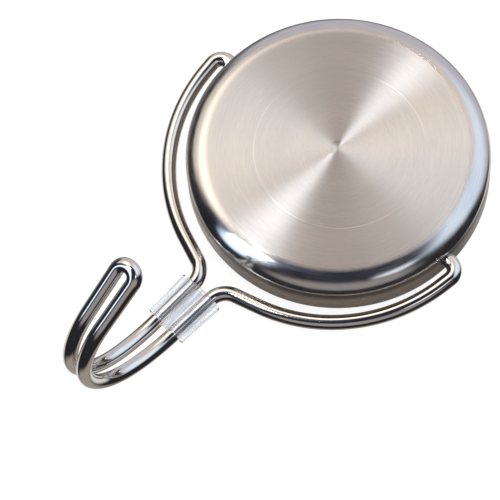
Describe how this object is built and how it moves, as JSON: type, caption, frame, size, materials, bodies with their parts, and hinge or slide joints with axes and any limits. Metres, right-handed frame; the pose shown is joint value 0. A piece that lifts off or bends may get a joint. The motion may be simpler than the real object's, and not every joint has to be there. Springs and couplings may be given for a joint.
{
  "type": "cap hook",
  "caption": "Round metal cap base with a turned face and a bent wire bail that swings round it, sleeved at the neck and ending in a doubled J hook.",
  "frame": {"origin": "centre of the rubber face that holds on to a panel", "axes": "+Z out through the cap's face, +X along the bail's pivot axis, the hook lies towards -Y at rest"},
  "size_m": [0.0696, 0.1001, 0.0418],
  "materials": {
    "turned_steel": "stainless, turned in fine circles on the face, polished shoulder",
    "bright_wire": "bright drawn stainless wire",
    "clear_sleeve": "clear flexible plastic, slightly hazy",
    "plated_steel": "pressed steel with dull bright plating",
    "ferrite": "sintered ferrite, dark grey and matt",
    "resin": "dark potting resin",
    "adhesive": "cured adhesive",
    "pad_rubber": "black sheet rubber"
  },
  "bodies": {
    "base": {"cap_shell": "turned_steel", "flux_pot": "plated_steel", "ring_magnet": "ferrite", "pole_piece": "plated_steel", "outer_potting": "resin", "pole_potting": "resin", "cap_bond": "adhesive", "face_pad": "pad_rubber", "pad_film": "adhesive"},
    "hook": {"hook_wire": "bright_wire"},
    "sleeve": {"neck_sleeve": "clear_sleeve"}
  },
  "joints": [
    {"name": "bail_hinge", "type": "hinge", "parent": "base", "child": "hook", "pos_m": [0, 0, 0.007], "axis": [-1, 0, 0], "range_deg": [0, 152]},
    {"name": "sleeve_slide", "type": "slide", "parent": "hook", "child": "sleeve", "axis": [0, -0.9956, -0.0941], "range_m": [0, 0.003]}
  ]
}
